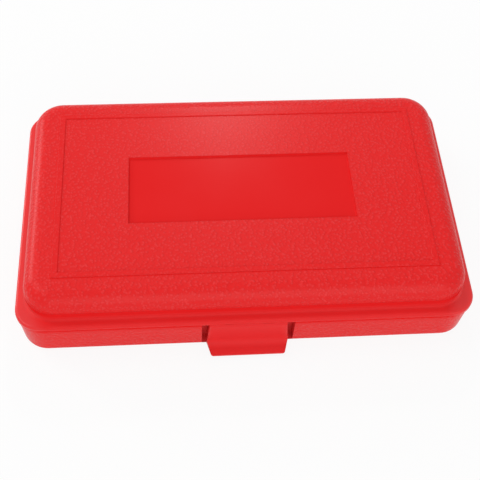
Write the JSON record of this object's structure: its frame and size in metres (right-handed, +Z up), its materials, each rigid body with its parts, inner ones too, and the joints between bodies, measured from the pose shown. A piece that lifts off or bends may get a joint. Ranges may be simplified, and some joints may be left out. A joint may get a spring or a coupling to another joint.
{
  "type": "precision tool case",
  "caption": "Shallow moulded tool case with a domed hinged lid, one front snap latch and a fitted tray for small hand tools.",
  "frame": {"origin": "on the table under the middle of the closed case", "axes": "+Z up, +X along the hinge, -Y towards the front with the latch"},
  "size_m": [0.23, 0.152, 0.0415],
  "materials": {
    "case_red": "pebble-textured moulded plastic",
    "latch_red": "smooth moulded plastic",
    "tray_black": "fine matte moulded plastic",
    "rack_black": "fine matte moulded plastic",
    "foam": "open-cell foam",
    "steel": "drawn steel wire"
  },
  "bodies": {
    "base": {"base_shell": "case_red", "tool_tray": "tray_black", "tool_rack_left": "rack_black", "tool_rack_right": "rack_black", "hinge_pin_left": "steel", "hinge_pin_right": "steel"},
    "lid": {"lid_shell": "case_red", "lid_pad": "foam", "latch_pin": "steel"},
    "latch": {"latch": "latch_red"}
  },
  "joints": [
    {"name": "lid_hinge", "type": "hinge", "parent": "base", "child": "lid", "pos_m": [0, 0.0726, 0.0225], "axis": [-1, 0, 0], "range_deg": [0, 180]},
    {"name": "latch_pivot", "type": "hinge", "parent": "lid", "child": "latch", "pos_m": [0, -0.06655, 0.01985], "axis": [-1, 0, 0], "range_deg": [0, 90]}
  ]
}
